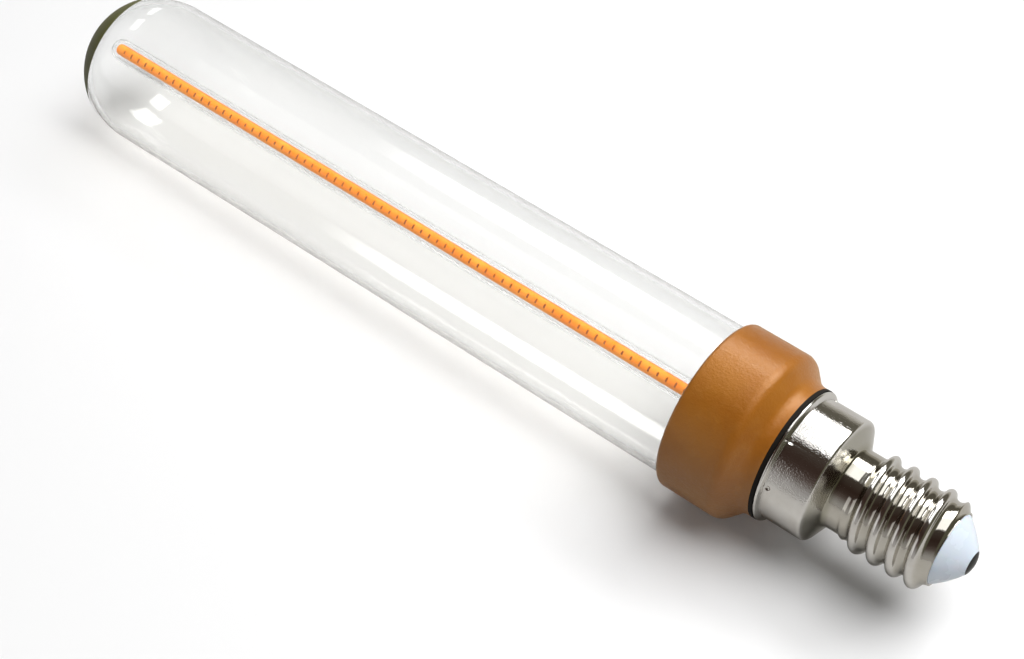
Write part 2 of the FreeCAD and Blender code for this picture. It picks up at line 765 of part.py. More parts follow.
gel = turned("Gel", [
    ("filament_tip_x", AXIS, "filament_radius", OUTWARD),
    ("filament_centre_x", "filament_radius"),
    ("filament_base_x", "filament_radius"),
    ("filament_base_x", AXIS),
])
channel_height = value("strip_thickness") + value("chip_height")
channel = given("Channel", rolled_box(value("strip_start_x"), -value("strip_drop"), strip_length,
                                      value("strip_width"), channel_height))
hollow = fused("Hollow", [channel, tip])
node(less("Phosphor", gel, hollow), "filament_phosphor")

# Wires: the lead-in wire to the base tab, and the return wire along the filament to its tip


def lead_in_path():
    rest = value("tab_thickness") - value("strip_drop") + value("lead_wire_radius")
    start_x = value("filament_base_x") + 2 * value("tab_thickness")
    out = -value("wire_spread")
    return [
        rolled(Vector(start_x, 0, rest)),
        rolled(Vector(value("press_back_x"), 0, rest)),
        Vector(value("press_front_x"), out, 0),
        Vector(value("exhaust_tip_x"), out, 0),
        Vector(value("board_x"), out, value("lead_top_z")),
        Vector(value("board_x") + value("wire_landing"), out, value("lead_top_z")),
    ]


def return_path():
    start_x = value("strip_start_x") - 2 * value("tab_thickness")
    out = value("wire_spread")
    return [
        rolled(Vector(start_x, 0, -value("return_offset"))),
        rolled(Vector(value("press_back_x"), 0, -value("return_offset"))),
        Vector(value("press_front_x"), out, 0),
        Vector(value("exhaust_tip_x"), out, 0),
        Vector(value("board_x"), out, value("return_top_z")),
        Vector(value("board_x") + value("wire_landing"), out, value("return_top_z")),
    ]


node(given("LeadIn", bent_rod(lead_in_path(), value("lead_wire_radius"))), "lead_in_wire")
node(given("Return", bent_rod(return_path(), value("return_wire_radius"))), "return_wire")

# Glass stem: a flare sealed to the neck, its tube, the press round the wires and the exhaust tube
flare = turned("Flare", [
    ("press_front_x", "stem_radius"),
    ("flare_start_x", "stem_radius"),
    ("glass_neck_reach", "flare_foot_radius"),
    ("glass_neck_reach", "glass_neck_radius"),
    ("flare_outer_x", "glass_neck_radius"),
    ("flare_outer_x", "flare_foot_radius"),
    ("flare_bore_start_x", "stem_bore"),
    ("press_front_x", "stem_bore"),
])
press = block("Press", "Places.press_back_x", "-Sizes.press_width / 2", "-Sizes.press_thickness / 2",
              "Sizes.press_length", "Sizes.press_width", "Sizes.press_thickness")
exhaust = rod("Exhaust", "Places.press_front_x", "Places.exhaust_tip_x - Places.press_front_x",
              "Sizes.exhaust_radius")
stem_glass = fused("StemGlass", [flare, press, exhaust])
exhaust_bore = rod("ExhaustBore", "Places.press_middle_x",
                   "Places.exhaust_bore_end_x - Places.press_middle_x", "Sizes.exhaust_bore_radius")
blow_hole = doc.addObject("Part::Cylinder", "BlowHole")
bind(blow_hole, Radius="Sizes.exhaust_bore_radius", Height="Sizes.press_thickness")
bind(blow_hole, Placement__Base__x="Places.press_middle_x")
bind(blow_hole, Placement__Base__z="-Sizes.press_thickness / 2")
lead_hole = given("LeadHole", bent_rod(lead_in_path(), value("lead_hole_radius")))
return_hole = given("ReturnHole", bent_rod(return_path(), value("return_hole_radius")))
stem_holes = fused("StemHoles", [exhaust_bore, blow_hole, lead_hole, return_hole])
node(less("Stem", stem_glass, stem_holes), "glass_stem")

# Driver: an insulating liner, the board in it and the parts on the board
node(turned("Liner", [
    ("foot_x", "liner_bore"),
    ("foot_x", "liner_radius"),
    ("liner_end_x", "liner_radius"),
    ("liner_end_x", "liner_bore"),
]), "insulating_liner")
node(block("Board", "Places.board_x", "-Places.board_half_width", "-Places.board_top_z",
           "Sizes.board_length", "2 * Places.board_half_width", "Sizes.board_thickness"), "driver_board")
node(rod("Capacitor", "Places.capacitor_x", "Sizes.capacitor_length", "Sizes.capacitor_radius",
         z="Places.capacitor_z"), "smoothing_capacitor")
node(block("Bridge", "Places.bridge_x", "-Sizes.bridge_width / 2",
           "-Places.board_top_z - Sizes.bridge_height", "Sizes.bridge_length", "Sizes.bridge_width",
           "Sizes.bridge_height"), "bridge_rectifier")


def fuse_stub_path():
    """From the resistor's end up to the board."""
    x = value("fuse_x") - value("fuse_stub")
    return [
        Vector(value("fuse_x") + value("fuse_stub"), 0, value("fuse_z")),
        Vector(x, 0, value("fuse_z")),
        Vector(x, 0, -value("board_top_z") - value("seat_gap")),
    ]


fuse_case = rod("FuseCase", "Places.fuse_x", "Sizes.fuse_length", "Sizes.fuse_radius", z="Places.fuse_z")
fuse_stub = given("FuseStub", bent_rod(fuse_stub_path(), value("lead_wire_radius")))
node(fused("Fuse", [fuse_case, fuse_stub]), "fusible_resistor")


def driver_chip():
    """The moulded case and its flat legs along both sides."""
    long = value("driver_chip_length")
    wide = value("driver_chip_width")
    top = value("board_top_z")
    start = value("driver_chip_x")
    count = int(value("leg_count"))
    case = Part.makeBox(long, wide, value("driver_chip_height"), Vector(start, -wide / 2, top))
    pieces = [case]
    for number in range(count):
        x = start + long * (number + 0.5) / count - value("leg_width") / 2
        corner = Vector(x, -wide / 2 - value("leg_reach"), top)
        pieces.append(Part.makeBox(value("leg_width"), wide + 2 * value("leg_reach"),
                                   value("leg_thickness"), corner))
    return joined(pieces)


def chip_resistors():
    boxes = []
    for number in range(int(value("resistor_count"))):
        corner = Vector(value("resistor_x") + number * value("resistor_pitch"), value("resistor_y"),
                        value("board_top_z"))
        boxes.append(Part.makeBox(value("resistor_length"), value("resistor_width"),
                                  value("resistor_height"), corner))
    return Part.makeCompound(boxes)


node(given("DriverChip", driver_chip()), "driver_chip")
node(given("Resistors", chip_resistors()), "chip_resistors")


def contact_lead_path():
    low = value("fuse_z")
    return [
        Vector(value("fuse_end_x"), 0, low),
        Vector(value("board_end_x"), 0, low),
        Vector(value("bead_back_x") - value("wire_bend"), 0, 0),
        Vector(value("shank_bore_end_x") - value("seat_gap"), 0, 0),
    ]


def side_lead_path():
    low = value("side_lead_z")
    outer = value("side_lead_outer_y")
    return [
        Vector(value("board_x") + value("wire_landing"), value("side_lead_y"), low),
        Vector(value("skirt_length"), value("side_lead_y"), low),
        Vector(value("side_lead_rise_x"), outer, low),
        Vector(value("side_lead_end_x"), outer, low),
    ]


def side_solder():
    """A bead round the side lead's end, against the skirt's inner face."""
    end = side_lead_path()[-1]
    ball = Part.makeSphere(value("side_solder_radius"), end)
    skirt = Part.makeCylinder(value("skirt_bore"), value("skirt_length"), Vector(0, 0, 0), Vector(1, 0, 0))
    return ball.common(skirt).cut(bent_rod(side_lead_path(), value("lead_wire_radius")))


node(given("ContactLead", bent_rod(contact_lead_path(), value("lead_wire_radius"))), "contact_lead")
node(given("SideLead", bent_rod(side_lead_path(), value("lead_wire_radius"))), "side_lead")
node(given("SideSolder", side_solder()), "side_solder")


doc.recompute()
for thing in doc.Objects:
    trouble = [word for word in thing.State if word in ("Invalid", "Error")]
    if trouble:
        raise RuntimeError("%s did not build: %s" % (thing.Label, trouble))
for piece in nodes:
    if piece.Shape.isNull() or not piece.Shape.isValid() or not piece.Shape.Solids:
        raise RuntimeError("%s has no valid solid" % piece.Label)

os.makedirs("parts", exist_ok=True)
for piece in nodes:
    piece.Shape.exportStep("parts/%s.step" % piece.Label)
    print("%-22s %3d solids %10.3f mm3" % (piece.Label, len(piece.Shape.Solids), piece.Shape.Volume))
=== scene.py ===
"""Looks for the tubular filament lamp: each piece's finish, the floor, the studio and the camera.

The turned and rolled pieces get smoother meshes of the same shape, since glass and bright metal
show every facet. Lengths are in metres, in the frame's axes: +X runs along the lamp towards its
contact and +Z is up.
"""

import json
import math

import bmesh
import bpy
from mathutils import Matrix, Vector


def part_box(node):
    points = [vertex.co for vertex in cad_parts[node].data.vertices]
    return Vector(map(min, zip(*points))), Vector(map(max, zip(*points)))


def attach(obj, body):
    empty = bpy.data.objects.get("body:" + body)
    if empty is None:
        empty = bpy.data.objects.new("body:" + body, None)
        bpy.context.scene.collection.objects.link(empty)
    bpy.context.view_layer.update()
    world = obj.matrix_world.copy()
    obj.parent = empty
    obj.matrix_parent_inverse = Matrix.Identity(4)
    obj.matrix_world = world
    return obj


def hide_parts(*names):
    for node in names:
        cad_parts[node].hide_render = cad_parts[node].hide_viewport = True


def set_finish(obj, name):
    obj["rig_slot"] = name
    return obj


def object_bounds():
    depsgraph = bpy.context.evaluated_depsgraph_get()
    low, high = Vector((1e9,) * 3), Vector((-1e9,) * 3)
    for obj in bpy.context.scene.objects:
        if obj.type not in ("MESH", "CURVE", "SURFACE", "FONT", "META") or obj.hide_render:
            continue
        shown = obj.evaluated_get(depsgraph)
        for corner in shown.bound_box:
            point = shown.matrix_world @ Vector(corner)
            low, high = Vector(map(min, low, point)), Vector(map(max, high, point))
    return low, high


MM = 0.001
WHITE = (1.0, 1.0, 1.0)

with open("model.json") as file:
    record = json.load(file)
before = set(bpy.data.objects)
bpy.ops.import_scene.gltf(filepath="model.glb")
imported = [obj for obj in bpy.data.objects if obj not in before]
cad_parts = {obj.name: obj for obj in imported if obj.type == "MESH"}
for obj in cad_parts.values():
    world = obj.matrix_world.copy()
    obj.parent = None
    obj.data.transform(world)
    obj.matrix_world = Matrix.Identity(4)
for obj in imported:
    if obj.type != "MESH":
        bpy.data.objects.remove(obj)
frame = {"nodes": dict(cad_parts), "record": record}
cad_low, cad_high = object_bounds()


# The photograph's view, fitted to the lamp's outline in it

CAMERA_PLACE = Vector((0.07496, -0.15395, 0.2284))
CAMERA_RIGHT = Vector((0.782, 0.6233, 0.0))
CAMERA_UP = Vector((-0.4804, 0.6028, 0.6371))
LENS_MM = 75.0
SENSOR_MM = 36.0
CLIP_START = 0.01


def make_camera():
    """The photograph's camera."""
    data = bpy.data.cameras.new("Camera")
    data.lens = LENS_MM
    data.sensor_width = SENSOR_MM
    data.clip_start = CLIP_START
    camera = bpy.data.objects.new("Camera", data)
    axes = Matrix((CAMERA_RIGHT, CAMERA_UP, CAMERA_RIGHT.cross(CAMERA_UP))).transposed()
    camera.matrix_world = Matrix.Translation(CAMERA_PLACE) @ axes.to_4x4()
    bpy.context.scene.collection.objects.link(camera)
    bpy.context.scene.camera = camera


# Places read from the frame

LAMP_RADIUS = cad_high.z
GLASS_LOW, GLASS_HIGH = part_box("glass_envelope")
GLASS_RADIUS = GLASS_HIGH.z
DOME_CENTRE_X = GLASS_LOW.x + GLASS_RADIUS
COLLAR_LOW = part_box("collar")[0]
CAP_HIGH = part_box("screw_shell")[1]
THREAD_END_X = CAP_HIGH.x
CHIPS_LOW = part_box("led_chips")[0]

# The filament's sizes, as in the part's source
FILAMENT_ROLL = math.radians(33.0)
CHIP_PITCH = 1.5 * MM
CHIP_WIDTH = 0.28 * MM


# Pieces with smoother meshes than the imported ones. An outline is a loop of points (x, radius).

GLASS_COLUMNS = 400
CAP_COLUMNS = 720
THREAD_COLUMNS = 400
DOME_STEPS = 64
GLASS_SHOULDER_STEPS = 4
GLASS_NECK_STEPS = 2
SLEEVE_STEPS = 24
CROWN_STEPS = 48
LIP_STEPS = 12
LIP_FOOT_STEPS = 5
DIMPLE_STEPS = 14
SHOULDER_CORNER_STEPS = 10
FOOT_STEPS = 12
SHARP_ANGLE = math.radians(40.0)
WELD_DISTANCE = 0.001 * MM

GLASS_WALL = 0.8 * MM
GLASS_NECK_RADIUS = 8.1 * MM
SHOULDER_SETBACK = 4.9 * MM
SHOULDER_START_X = COLLAR_LOW.x + SHOULDER_SETBACK
SHOULDER_LENGTH = 3.8 * MM
CROWN_GAP = 0.05 * MM
CROWN_HALF_ANGLE = 64.5
SLEEVE_WALL = 0.5 * MM

LIP_BEAD = 0.25 * MM
LIP_ARC_END = 20.0
LIP_END_X = 0.75 * MM
LIP_FOOT_ROUND = 0.12 * MM
SHEET = 0.25 * MM
SKIRT_RADIUS = 9.05 * MM
SKIRT_LENGTH = 6.75 * MM
SHOULDER_CORNER_ROUND = 0.5 * MM
FOOT_X = 8.35 * MM
FOOT_ROUND = 0.7 * MM
NECK_RADIUS = 5.85 * MM
NECK_END_X = 9.6 * MM
DIMPLE_X = 1.25 * MM
DIMPLE_RADIUS = 0.5 * MM
DIMPLE_DEPTH = 0.2 * MM
DIMPLE_REACH = math.sqrt(DIMPLE_RADIUS ** 2 - (DIMPLE_RADIUS - DIMPLE_DEPTH) ** 2)
DIMPLE_PAIR_COUNT = 3
DIMPLE_BEARINGS = (math.radians(115.5), math.radians(160.5))

THREAD_PITCH = 2.822 * MM
CREST_RADIUS = 6.945 * MM
ROOT_RADIUS = 5.95 * MM
CREST_SHARE = 0.42
FIRST_CREST_X = 12.0 * MM
CREST_BEARING = math.radians(33.0)
RISE_X = 10.5 * MM
RUN_IN = 1.5 * MM
RUN_OUT = 1.45 * MM
THREAD_END_RADIUS = 5.45 * MM
THREAD_STEP = 0.075 * MM


def run(start, end, count=1):
    """Points of a straight stretch, without its last one."""
    return [(start[0] + (end[0] - start[0]) * step / count,
             start[1] + (end[1] - start[1]) * step / count) for step in range(count)]


def sweep(centre, radius, start, end, count):
    """Points of an arc, with its angles in degrees from +x towards larger radii."""
    points = []
    for step in range(count + 1):
        angle = math.radians(start + (end - start) * step / count)
        points.append((centre[0] + radius * math.cos(angle), centre[1] + radius * math.sin(angle)))
    return points


def rounding(before, corner, after, radius, count):
    """Points of the arc that rounds a corner between two straight stretches."""
    corner = Vector(corner)
    into = (corner - Vector(before)).normalized()
    out = (Vector(after) - corner).normalized()
    turn = into.angle(out)
    inward = (out - into).normalized()
    centre = corner + inward * radius / math.cos(turn / 2)
    first = corner - into * radius * math.tan(turn / 2) - centre
    side = 1 if into.x * out.y - into.y * out.x > 0 else -1
    points = []
    for step in range(count + 1):
        turned = first.copy()
        turned.rotate(Matrix.Rotation(side * turn * step / count, 2))
        points.append(tuple(centre + turned))
    return points


def lathe(name, outline, columns, slot, node, shaped=None):
    """A closed piece turned from its outline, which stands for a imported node."""
    verts = []
    for number in range(columns):
        bearing = math.tau * number / columns
        for x, radius in outline:
            if shaped:
                radius = shaped(x, radius, bearing)
            verts.append((x, radius * math.cos(bearing), radius * math.sin(bearing)))
    rows = len(outline)
    faces = []
    for number in range(columns):
        here, there = number * rows, (number + 1) % columns * rows
        for row in range(rows):
            after = (row + 1) % rows
            faces.append((here + row, here + after, there + after, there + row))
    mesh = bpy.data.meshes.new(name)
    mesh.from_pydata(verts, [], faces)
    build = bmesh.new()
    build.from_mesh(mesh)
    bmesh.ops.remove_doubles(build, verts=build.verts, dist=WELD_DISTANCE)
    bmesh.ops.recalc_face_normals(build, faces=build.faces)
    build.to_mesh(mesh)
    build.free()
    mesh.shade_smooth()
    mesh.set_sharp_from_angle(angle=SHARP_ANGLE)
    piece = bpy.data.objects.new(name, mesh)
    bpy.context.scene.collection.objects.link(piece)
    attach(piece, "root")
    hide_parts(node)
    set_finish(piece, slot)
    return piece


def make_envelope():
    """Dome, tube, shoulder inside the collar and neck inside the cap, with one wall all round."""
    centre = (DOME_CENTRE_X, 0.0)
    inner = GLASS_RADIUS - GLASS_WALL
    shoulder_end_x = SHOULDER_START_X + SHOULDER_LENGTH
    neck_inner = GLASS_NECK_RADIUS - GLASS_WALL
    neck_start = (shoulder_end_x, GLASS_NECK_RADIUS)
    mouth = (GLASS_HIGH.x, GLASS_NECK_RADIUS)
    tube_inner_end = (SHOULDER_START_X, inner)
    outline = sweep(centre, GLASS_RADIUS, 180, 90, DOME_STEPS)
    outline += run((SHOULDER_START_X, GLASS_RADIUS), neck_start, GLASS_SHOULDER_STEPS)
    outline += run(neck_start, mouth, GLASS_NECK_STEPS)
    outline += [mouth, (GLASS_HIGH.x, neck_inner)]
    outline += run((shoulder_end_x, neck_inner), tube_inner_end, GLASS_SHOULDER_STEPS)
    outline += [tube_inner_end]
    outline += sweep(centre, inner, 90, 180, DOME_STEPS)
    return lathe("envelope", outline, GLASS_COLUMNS, "clear_glass", "glass_envelope")


def make_sleeve():
    """The filament's thin glass sleeve, with a domed end and one open end."""
    low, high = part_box("filament_sleeve")
    inner = high.z - SLEEVE_WALL
    centre = (low.x + high.z, 0.0)
    outline = sweep(centre, high.z, 180, 90, SLEEVE_STEPS)
    outline += [(high.x, high.z), (high.x, inner)]
    outline += sweep(centre, inner, 90, 180, SLEEVE_STEPS)
    return lathe("sleeve", outline, GLASS_COLUMNS // 2, "clear_glass", "filament_sleeve")


def make_crown():
    """The thin metal cap on the dome."""
    centre = (DOME_CENTRE_X, 0.0)
    inner = GLASS_RADIUS + CROWN_GAP
    outer = DOME_CENTRE_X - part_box("crown_cap")[0].x
    edge = 180 - CROWN_HALF_ANGLE
    outline = sweep(centre, outer, 180, edge, CROWN_STEPS)
    outline += sweep(centre, inner, edge, 180, CROWN_STEPS)
    return lathe("crown", outline, GLASS_COLUMNS, "olive_metal", "crown_cap")


def dimpled(x, radius, bearing):
    """The skirt's outside with a round dimple at each of its places by the lip."""
    if radius < SKIRT_RADIUS - SHEET / 2 or abs(x - DIMPLE_X) > DIMPLE_REACH:
        return radius
    step = math.tau / DIMPLE_PAIR_COUNT
    around = min(abs((bearing - place + step / 2) % step - step / 2) for place in DIMPLE_BEARINGS)
    distance = math.hypot(x - DIMPLE_X, around * SKIRT_RADIUS)
    if distance > DIMPLE_REACH:
        return radius
    return radius + DIMPLE_RADIUS - DIMPLE_DEPTH - math.sqrt(DIMPLE_RADIUS ** 2 - distance ** 2)


def make_skirt():
    """Lip bead, dimpled skirt, shoulder and neck."""
    lip_radius = CAP_HIGH.z
    bead = (LIP_BEAD, lip_radius - LIP_BEAD)
    lip_foot = (LIP_END_X, SKIRT_RADIUS)
    corner = (SKIRT_LENGTH, SKIRT_RADIUS)
    foot = (FOOT_X, NECK_RADIUS)
    neck_end = (NECK_END_X, NECK_RADIUS)
    dimples_from = (DIMPLE_X - DIMPLE_REACH, SKIRT_RADIUS)
    dimples_to = (DIMPLE_X + DIMPLE_REACH, SKIRT_RADIUS)
    neck_bore, skirt_bore = NECK_RADIUS - SHEET, SKIRT_RADIUS - SHEET
    outline = sweep(bead, LIP_BEAD, 180, LIP_ARC_END, LIP_STEPS)
    outline += rounding(outline[-1], lip_foot, corner, LIP_FOOT_ROUND, LIP_FOOT_STEPS)
    outline += run(outline[-1], dimples_from)[1:]
    outline += run(dimples_from, dimples_to, DIMPLE_STEPS) + [dimples_to]
    outline += rounding(lip_foot, corner, foot, SHOULDER_CORNER_ROUND, SHOULDER_CORNER_STEPS)
    outline += rounding(corner, foot, neck_end, FOOT_ROUND, FOOT_STEPS)
    outline += [neck_end, (NECK_END_X, neck_bore), (FOOT_X - SHEET / 2, neck_bore)]
    outline += [(SKIRT_LENGTH - SHEET / 2, skirt_bore), (LIP_BEAD, skirt_bore)]
    outline += [(0.0, lip_radius - LIP_BEAD)]
    return lathe("cap_skirt", outline, CAP_COLUMNS, "nickel", "screw_shell", dimpled)


def ease(share):
    """A smooth step from 0 to 1."""
    share = min(1.0, max(0.0, share))
    return share * share * (3 - 2 * share)


def rolled_radius(x, radius, bearing):
    """The thread's outside: crest arcs and root arcs, tangent to each other, on a helix."""
    if radius < ROOT_RADIUS - SHEET / 2:
        return radius
    half = THREAD_PITCH / 2
    depth = CREST_RADIUS - ROOT_RADIUS
    arcs = (half * half + depth * depth) / (2 * depth)
    crest_arc = CREST_SHARE * arcs
    root_arc = arcs - crest_arc
    crests = (x - FIRST_CREST_X) / THREAD_PITCH - (bearing - CREST_BEARING) / math.tau
    along = abs(crests - round(crests)) * THREAD_PITCH
    if along < half * CREST_SHARE:
        wave = CREST_RADIUS - crest_arc + math.sqrt(crest_arc ** 2 - along ** 2)
    else:
        wave = ROOT_RADIUS + root_arc - math.sqrt(root_arc ** 2 - (half - along) ** 2)
    wave = NECK_RADIUS + (wave - NECK_RADIUS) * ease((x - RISE_X) / RUN_IN)
    closing = ease(1 - (THREAD_END_X - x) / RUN_OUT)
    return wave + (THREAD_END_RADIUS - wave) * closing


def make_thread():
    """The rolled thread as a tube, closed in towards the insulator."""
    bore = ROOT_RADIUS - SHEET
    start, end = (NECK_END_X, ROOT_RADIUS), (THREAD_END_X, ROOT_RADIUS)
    outline = run(start, end, round((THREAD_END_X - NECK_END_X) / THREAD_STEP))
    outline += [end, (THREAD_END_X, THREAD_END_RADIUS - SHEET)]
    outline += [(THREAD_END_X - RUN_OUT, bore), (NECK_END_X, bore)]
    return lathe("cap_thread", outline, THREAD_COLUMNS, "nickel", "screw_shell", rolled_radius)


def make_smooth_pieces():
    return [make_envelope(), make_sleeve(), make_crown(), make_skirt(), make_thread()]


class Nodes:
    """A node tree, with a short call for each kind of node that is used."""

    def __init__(self, tree):
        self.tree = tree

    def node(self, kind, **settings):
        """A new node of a kind, with its settings."""
        made = self.tree.nodes.new(kind)
        for name, value in settings.items():
            setattr(made, name, value)
        return made

    def put(self, socket, value):
        """Give an input a number, a colour or another node's output."""
        if isinstance(value, bpy.types.NodeSocket):
            self.tree.links.new(value, socket)
        elif socket.type == "RGBA":
            socket.default_value = (*value, 1.0)
        else:
            socket.default_value = value

    def give(self, node, **values):
        """Set a node's inputs by name, with underscores for spaces."""
        for name, value in values.items():
            self.put(node.inputs[name.replace("_", " ")], value)
        return node

    def wired(self, kind, *values, **settings):
        """The first output of a new node, whose first inputs take the values."""
        made = self.node(kind, **settings)
        for socket, value in zip(made.inputs, values):
            self.put(socket, value)
        return made.outputs[0]

    def math(self, operation, *values):
        """The result of a sum or another operation on numbers."""
        return self.wired("ShaderNodeMath", *values, operation=operation)

    def product(self, first, *others):
        for value in others:
            first = self.math("MULTIPLY", first, value)
        return first

    def hypotenuse(self, first, second):
        squares = [self.product(value, value) for value in (first, second)]
        return self.math("SQRT", self.math("ADD", *squares))

    def fit(self, value, low, high, new_low=0.0, new_high=1.0):
        """Map a range on to another with soft ends, clamped."""
        return self.wired("ShaderNodeMapRange", value, low, high, new_low, new_high,
                          interpolation_type="SMOOTHSTEP")

    def between(self, value, low, high, edge):
        """1 between two numbers, with soft edges."""
        return self.product(self.fit(value, low - edge, low + edge),
                            self.fit(value, high - edge, high + edge, 1.0, 0.0))

    def parts(self, vector):
        """A vector's x, y and z."""
        made = self.node("ShaderNodeSeparateXYZ")
        self.put(made.inputs[0], vector)
        return made.outputs

    def mix(self, factor, first, second):
        """A mix of two colours."""
        made = self.give(self.node("ShaderNodeMix", data_type="RGBA"), Factor=factor)
        self.put(made.inputs[6], first)
        self.put(made.inputs[7], second)
        return made.outputs[2]

    def rays(self):
        """The kinds of ray, each as a 0 or 1."""
        return self.node("ShaderNodeLightPath").outputs

    def seen_directly(self):
        """1 for rays that show a thing to the camera, alone or through metal and glass."""
        rays = self.rays()
        seen = self.math("MAXIMUM", rays["Is Camera Ray"], rays["Is Glossy Ray"])
        return self.math("MAXIMUM", seen, rays["Is Transmission Ray"])

    def mirrored(self):
        """1 for rays that a surface mirrors. Rays through glass count as glossy, and give 0."""
        rays = self.rays()
        left = self.math("SUBTRACT", rays["Is Glossy Ray"], rays["Is Transmission Ray"])
        return self.math("MAXIMUM", left, 0.0)


class Finish(Nodes):
    """A material whose nodes feed its Principled shader."""

    def __init__(self, name):
        self.material = bpy.data.materials.new(name)
        self.material.use_nodes = True
        super().__init__(self.material.node_tree)
        self.shader = self.tree.nodes["Principled BSDF"]
        self.place = self.node("ShaderNodeTexCoord").outputs["Object"]

    def set(self, **values):
        """Set the shader's inputs by name, with underscores for spaces."""
        self.give(self.shader, **values)

    def scaled(self, scale):
        """The place with its axes scaled."""
        return self.wired("ShaderNodeVectorMath", self.place, scale, operation="MULTIPLY")

    def radius(self):
        """Distance from the lamp's axis."""
        return self.hypotenuse(*self.parts(self.place)[1:3])

    def noise(self, vector, scale, detail=2.0, roughness=0.5):
        made = self.node("ShaderNodeTexNoise")
        self.give(made, Vector=vector, Scale=scale, Detail=detail, Roughness=roughness)
        return made.outputs[0]

    def bump(self, height, distance, strength=1.0):
        made = self.node("ShaderNodeBump")
        self.give(made, Height=height, Distance=distance, Strength=strength)
        return made.outputs[0]

    def clear_where(self, share, colour):
        """Let a share of the rays go straight through in a colour."""
        clear = self.wired("ShaderNodeBsdfTransparent", colour)
        both = self.wired("ShaderNodeMixShader", share, self.shader.outputs[0], clear)
        self.give(self.tree.nodes["Material Output"], Surface=both)

    def lets_light_by(self, colour, share=1.0):
        """Let a share of the lamps' light pass in a colour, for a soft and tinted shadow."""
        self.clear_where(self.product(self.rays()["Is Shadow Ray"], share), colour)


# Lengths and shares that the finishes use

# The filament's sleeve lies within the first radius, and the tube's wall beyond the second
SLEEVE_REACH = 2.5 * MM
TUBE_REACH = 7.0 * MM
SLEEVE_IOR = 1.2
TUBE_IOR = 1.5

# The crown's hollow side and its thin edge don't show, and most light passes it to the floor
CROWN_INSIDE_RADIUS = GLASS_RADIUS + 2 * CROWN_GAP
CROWN_EDGE_WIDTH = 0.2
CROWN_EDGE_ANGLE = math.radians(CROWN_HALF_ANGLE - CROWN_EDGE_WIDTH)
CROWN_LIGHT_SHARE = 0.97

COLLAR_BUMP = 0.045 * MM
PLATE_BUMP = 0.006 * MM
THREAD_BUMP_SHARE = 0.15
# How far the painted shade in the nickel's creases looks for nearby surfaces
CREASE_SHADE_REACH = 0.5 * MM
# Where the painted shade in the fold by the neck rises and fades along the lamp
SHOULDER_SHADE_RISE = 0.4 * MM
SHOULDER_SHADE_FADE = 1.0 * MM

# The dark ticks over the chips: along the filament in pitches, and across it
TICK_PHASE = (0.05, 0.13)
TICK_OFFSET = 0.12 * MM
TICK_REACH = (0.22 * MM, 0.42 * MM)
TICK_EDGE = 0.08 * MM
GEL_UPPER_EDGE = (0.62 * MM, 0.84 * MM)
GEL_LOWER_EDGE = (-0.88 * MM, -0.55 * MM)


def clear_glass():
    """Drawn glass with faint streaks along the tube, and painted shade that greys it where it is
    seen edge on.
    """
    look = Finish("clear_glass")
    streaks = look.noise(look.scaled((6.0, 260.0, 260.0)), 1.0, detail=1.0)
    facing = look.give(look.node("ShaderNodeLayerWeight"), Blend=0.5).outputs["Facing"]
    edge = look.fit(facing, 0.2, 0.95)
    radius = look.radius()
    outer = look.fit(radius, SLEEVE_REACH, TUBE_REACH)
    drawn = look.mix(look.fit(streaks, 0.3, 0.7), (0.958, 0.959, 0.953), (0.946, 0.948, 0.941))
    clear = look.mix(outer, (0.995, 0.996, 0.996), drawn)
    # Painted shade: the base colour greys where the glass is seen edge on.
    look.set(Base_Color=look.mix(edge, clear, (0.87, 0.88, 0.88)))
    look.set(Roughness=0.0, Transmission_Weight=1.0)
    look.set(IOR=look.fit(radius, SLEEVE_REACH, TUBE_REACH, SLEEVE_IOR, TUBE_IOR))
    shade = look.mix(outer, (0.995, 0.995, 0.995), (0.972, 0.968, 0.960))
    along = look.fit(look.parts(look.place)[0], GLASS_LOW.x, DOME_CENTRE_X)
    edge_shade = look.mix(along, (0.96, 0.96, 0.96), (0.86, 0.86, 0.85))
    look.lets_light_by(look.mix(edge, shade, edge_shade))
    return look.material


def olive_metal():
    """Olive coat with turned streaks.

    As in the photograph, its hollow side doesn't show and it hardly shades the floor.
    """
    look = Finish("olive_metal")
    from_centre = look.math("SUBTRACT", look.parts(look.place)[0], DOME_CENTRE_X)
    radius = look.radius()
    rings = look.wired("ShaderNodeCombineXYZ", radius)
    streaks = look.noise(rings, 4200.0, detail=3.0, roughness=0.7)
    cloud = look.noise(look.place, 160.0, detail=3.0)
    olive = look.mix(look.fit(streaks, 0.35, 0.65), (0.070, 0.072, 0.016), (0.150, 0.148, 0.042))
    olive = look.mix(look.fit(cloud, 0.3, 0.75, 0.0, 0.5), olive, (0.10, 0.10, 0.07))
    look.set(Base_Color=olive, Metallic=0.1, Specular_IOR_Level=0.25)
    look.set(Roughness=look.fit(streaks, 0.2, 0.8, 0.42, 0.55))
    look.set(Normal=look.bump(streaks, 0.01 * MM))
    reach = look.hypotenuse(from_centre, radius)
    rays = look.rays()
    passing = look.math("MAXIMUM", rays["Is Shadow Ray"], rays["Is Diffuse Ray"])
    clear = look.product(passing, CROWN_LIGHT_SHARE)
    towards_tube = look.math("DIVIDE", from_centre, reach)
    for unseen in (
        look.math("LESS_THAN", reach, CROWN_INSIDE_RADIUS),
        look.math("GREATER_THAN", towards_tube, -math.cos(CROWN_EDGE_ANGLE)),
        look.node("ShaderNodeNewGeometry").outputs["Backfacing"],
    ):
        clear = look.math("MAXIMUM", clear, unseen)
    look.clear_where(clear, WHITE)
    return look.material


